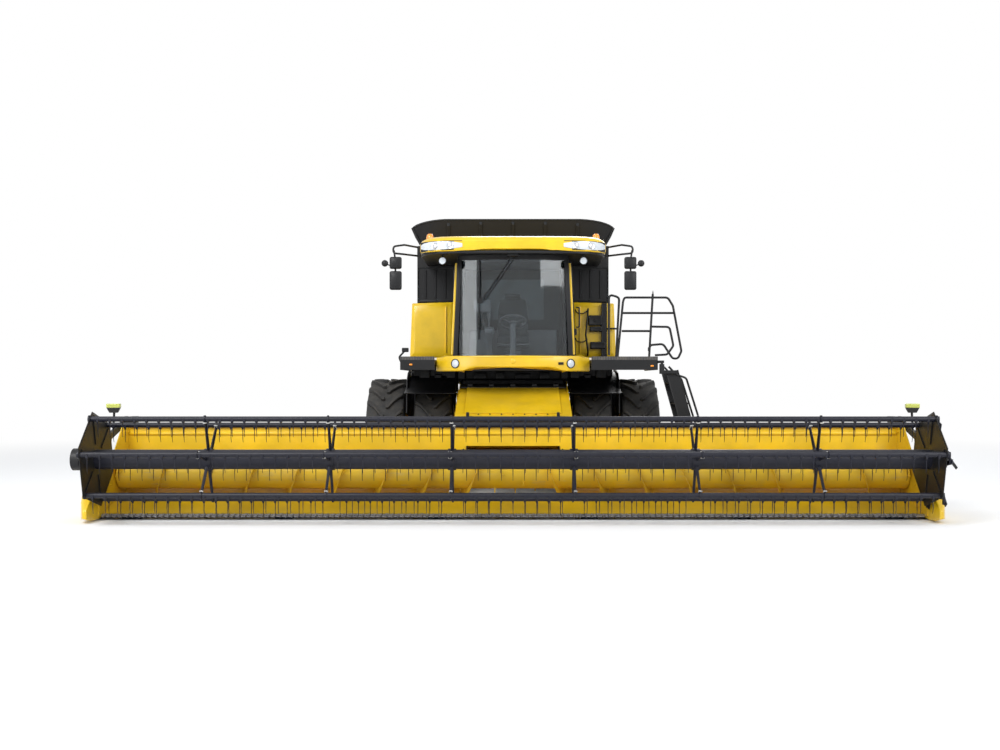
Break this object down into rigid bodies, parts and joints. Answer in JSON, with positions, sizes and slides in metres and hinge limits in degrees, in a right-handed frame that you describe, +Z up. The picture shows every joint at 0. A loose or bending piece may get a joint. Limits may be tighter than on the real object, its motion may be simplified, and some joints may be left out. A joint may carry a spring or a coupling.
{
  "type": "combine harvester",
  "caption": "Combine harvester with a wide grain header, feathering reel, glazed cab, flared grain tank, dual front wheels and a folded unloading tube.",
  "frame": {"origin": "on the ground, under the middle of the whole machine's box", "axes": "+X towards the machine's left side, along the header; +Y towards the rear; +Z up; the machine drives towards -Y"},
  "size_m": [11.3, 10.1056, 4.44],
  "materials": {
    "yellow_paint": "gloss yellow enamel",
    "black_paint": "satin black enamel",
    "navy_paint": "satin dark blue-black enamel",
    "auger_yellow": "yellow enamel worn by crop",
    "guard_steel": "dark forged steel",
    "rod_chrome": "hard chrome",
    "tyre_rubber": "dusty black rubber",
    "rim_paint": "yellow enamel",
    "cab_glass": "tinted safety glass",
    "seat_fabric": "dark woven cloth",
    "lamp_lens": "clear and amber lamp plastic"
  },
  "bodies": {
    "root": {"cab_controls": "black_paint", "cab_frame": "black_paint", "cab_glass": "cab_glass", "cab_roof": "yellow_paint", "decks": "black_paint", "engine": "black_paint", "engine_hood": "yellow_paint", "front_axle": "black_paint", "front_bumper": "yellow_paint", "front_panels": "yellow_paint", "grain_tank": "black_paint", "lamps": "lamp_lens", "main_frame": "black_paint", "mirrors": "black_paint", "railings": "black_paint", "rear_axle": "black_paint", "seat_cushion": "seat_fabric", "straw_chopper": "black_paint", "straw_hood": "yellow_paint", "tank_extension": "black_paint", "threshing_body": "black_paint"},
    "header": {"feeder_house": "yellow_paint", "header_frame": "black_paint", "header_shell": "yellow_paint", "header_ends": "yellow_paint", "cutterbar": "guard_steel"},
    "header_auger": {"header_auger": "auger_yellow"},
    "reel_arms": {"reel_arms": "black_paint"},
    "reel_carriage": {"reel_carriage": "black_paint"},
    "reel_core": {"reel_core": "navy_paint"},
    "reel_control": {"reel_control": "navy_paint"},
    "reel_lift_barrels": {"reel_lift_barrels": "black_paint"},
    "reel_lift_rods": {"reel_lift_rods": "rod_chrome"},
    "lift_barrels": {"lift_barrels": "black_paint"},
    "lift_rods": {"lift_rods": "rod_chrome"},
    "tie_rod": {"tie_rod": "black_paint"},
    "cab_door": {"cab_door": "black_paint", "cab_door_glass": "cab_glass"},
    "access_ladder": {"access_ladder": "black_paint"},
    "unloading_tube": {"unloading_tube": "yellow_paint"},
    "left_shield": {"left_shield": "yellow_paint"},
    "right_shield": {"right_shield": "yellow_paint"},
    "radiator_screen": {"radiator_screen": "black_paint"},
    "bat_1": {"bat_1": "navy_paint"},
    "bat_2": {"bat_2": "navy_paint"},
    "bat_3": {"bat_3": "navy_paint"},
    "bat_4": {"bat_4": "navy_paint"},
    "bat_5": {"bat_5": "navy_paint"},
    "bat_6": {"bat_6": "navy_paint"},
    "front_left_wheels": {"front_left_tyres": "tyre_rubber", "front_left_rims": "rim_paint"},
    "rear_left_wheel": {"rear_left_tyre": "tyre_rubber", "rear_left_rim": "rim_paint"},
    "rear_left_knuckle": {"rear_left_knuckle": "black_paint"},
    "front_right_wheels": {"front_right_tyres": "tyre_rubber", "front_right_rims": "rim_paint"},
    "rear_right_wheel": {"rear_right_tyre": "tyre_rubber", "rear_right_rim": "rim_paint"},
    "rear_right_knuckle": {"rear_right_knuckle": "black_paint"}
  },
  "joints": [
    {"name": "front_left_wheels_spin", "type": "hinge", "parent": "root", "child": "front_left_wheels", "pos_m": [1.262, -0.29717, 0.92], "axis": [1, 0, 0], "continuous": true},
    {"name": "rear_left_steer", "type": "hinge", "parent": "root", "child": "rear_left_knuckle", "pos_m": [1.08, 3.45283, 0.745], "axis": [0, 0, 1], "range_deg": [-40, 40]},
    {"name": "rear_left_wheel_spin", "type": "hinge", "parent": "rear_left_knuckle", "child": "rear_left_wheel", "pos_m": [1.45, 3.45283, 0.745], "axis": [1, 0, 0], "continuous": true},
    {"name": "front_right_wheels_spin", "type": "hinge", "parent": "root", "child": "front_right_wheels", "pos_m": [-1.262, -0.29717, 0.92], "axis": [1, 0, 0], "continuous": true},
    {"name": "rear_right_steer", "type": "hinge", "parent": "root", "child": "rear_right_knuckle", "pos_m": [-1.08, 3.45283, 0.745], "axis": [0, 0, 1], "range_deg": [-40, 40]},
    {"name": "rear_right_wheel_spin", "type": "hinge", "parent": "rear_right_knuckle", "child": "rear_right_wheel", "pos_m": [-1.45, 3.45283, 0.745], "axis": [1, 0, 0], "continuous": true},
    {"name": "tie_rod_shift", "type": "slide", "parent": "root", "child": "tie_rod", "axis": [1, 0, 0], "range_m": [-0.16, 0.16]},
    {"name": "feeder_lift", "type": "hinge", "parent": "root", "child": "header", "pos_m": [0, -0.93717, 1.56], "axis": [-1, 0, 0], "range_deg": [0, 20]},
    {"name": "lift_barrel_tilt", "type": "hinge", "parent": "root", "child": "lift_barrels", "pos_m": [0, -0.49717, 0.7], "axis": [1, 0, 0], "range_deg": [-14.72, 0.5]},
    {"name": "lift_rod_slide", "type": "slide", "parent": "lift_barrels", "child": "lift_rods", "axis": [0, -0.9978, -0.0665], "range_m": [0, 0.30342]},
    {"name": "header_auger_spin", "type": "hinge", "parent": "header", "child": "header_auger", "pos_m": [0, -3.37717, 0.545], "axis": [1, 0, 0], "continuous": true},
    {"name": "reel_lift", "type": "hinge", "parent": "header", "child": "reel_arms", "pos_m": [0, -2.94717, 1.25], "axis": [-1, 0, 0], "range_deg": [0, 25]},
    {"name": "reel_fore_aft", "type": "slide", "parent": "reel_arms", "child": "reel_carriage", "axis": [0, 0.9596, 0.2815], "range_m": [0, 0.2]},
    {"name": "reel_spin", "type": "hinge", "parent": "reel_carriage", "child": "reel_core", "pos_m": [0, -4.44717, 0.81], "axis": [1, 0, 0], "continuous": true},
    {"name": "reel_control_spin", "type": "hinge", "parent": "reel_carriage", "child": "reel_control", "pos_m": [0, -4.44717, 0.72], "axis": [1, 0, 0], "continuous": true},
    {"name": "bat_1_feather", "type": "hinge", "parent": "reel_core", "child": "bat_1", "pos_m": [0, -4.98882, 0.90551], "axis": [1, 0, 0], "continuous": true},
    {"name": "bat_2_feather", "type": "hinge", "parent": "reel_core", "child": "bat_2", "pos_m": [0, -4.63528, 1.32683], "axis": [1, 0, 0], "continuous": true},
    {"name": "bat_3_feather", "type": "hinge", "parent": "reel_core", "child": "bat_3", "pos_m": [0, -4.09364, 1.23132], "axis": [1, 0, 0], "continuous": true},
    {"name": "bat_4_feather", "type": "hinge", "parent": "reel_core", "child": "bat_4", "pos_m": [0, -3.90553, 0.71449], "axis": [1, 0, 0], "continuous": true},
    {"name": "bat_5_feather", "type": "hinge", "parent": "reel_core", "child": "bat_5", "pos_m": [0, -4.25906, 0.29317], "axis": [1, 0, 0], "continuous": true},
    {"name": "bat_6_feather", "type": "hinge", "parent": "reel_core", "child": "bat_6", "pos_m": [0, -4.8007, 0.38868], "axis": [1, 0, 0], "continuous": true},
    {"name": "reel_lift_barrel_tilt", "type": "hinge", "parent": "header", "child": "reel_lift_barrels", "pos_m": [0, -3.25717, 0.64], "axis": [1, 0, 0], "range_deg": [-17.39, 0.5]},
    {"name": "reel_lift_rod_slide", "type": "slide", "parent": "reel_lift_barrels", "child": "reel_lift_rods", "axis": [0, -0.8025, 0.5967], "range_m": [0, 0.2947]},
    {"name": "cab_door_hinge", "type": "hinge", "parent": "root", "child": "cab_door", "pos_m": [0.94794, -0.87717, 2.9], "axis": [0, 0, 1], "range_deg": [0, 75]},
    {"name": "ladder_swing", "type": "hinge", "parent": "root", "child": "access_ladder", "pos_m": [2.215, -1.99717, 2], "axis": [0, 0, -1], "range_deg": [0, 90]},
    {"name": "unloading_swing", "type": "hinge", "parent": "root", "child": "unloading_tube", "pos_m": [1.3, -0.04717, 3.5], "axis": [0, 0, -1], "range_deg": [0, 100]},
    {"name": "left_shield_lift", "type": "hinge", "parent": "root", "child": "left_shield", "pos_m": [1.625, 1.90283, 2.92], "axis": [0, -1, 0], "range_deg": [0, 80]},
    {"name": "right_shield_lift", "type": "hinge", "parent": "root", "child": "right_shield", "pos_m": [-1.625, 1.90283, 2.92], "axis": [0, 1, 0], "range_deg": [0, 80]},
    {"name": "radiator_screen_spin", "type": "hinge", "parent": "root", "child": "radiator_screen", "pos_m": [-1.5, 3.00283, 3.08], "axis": [1, 0, 0], "continuous": true}
  ],
  "couplings": [
    {"joint": "rear_right_steer", "follows": "rear_left_steer", "ratio": 1},
    {"joint": "tie_rod_shift", "follows": "rear_left_steer", "m_per_rad": -0.20256},
    {"joint": "lift_barrel_tilt", "follows": "feeder_lift", "ratio": -0.71101},
    {"joint": "lift_rod_slide", "follows": "feeder_lift", "m_per_rad": 0.8406},
    {"joint": "reel_control_spin", "follows": "reel_spin", "ratio": 1},
    {"joint": "bat_1_feather", "follows": "reel_spin", "ratio": -1},
    {"joint": "bat_2_feather", "follows": "reel_spin", "ratio": -1},
    {"joint": "bat_3_feather", "follows": "reel_spin", "ratio": -1},
    {"joint": "bat_4_feather", "follows": "reel_spin", "ratio": -1},
    {"joint": "bat_5_feather", "follows": "reel_spin", "ratio": -1},
    {"joint": "bat_6_feather", "follows": "reel_spin", "ratio": -1},
    {"joint": "reel_lift_barrel_tilt", "follows": "reel_lift", "ratio": -0.67575},
    {"joint": "reel_lift_rod_slide", "follows": "reel_lift", "m_per_rad": 0.65249}
  ]
}
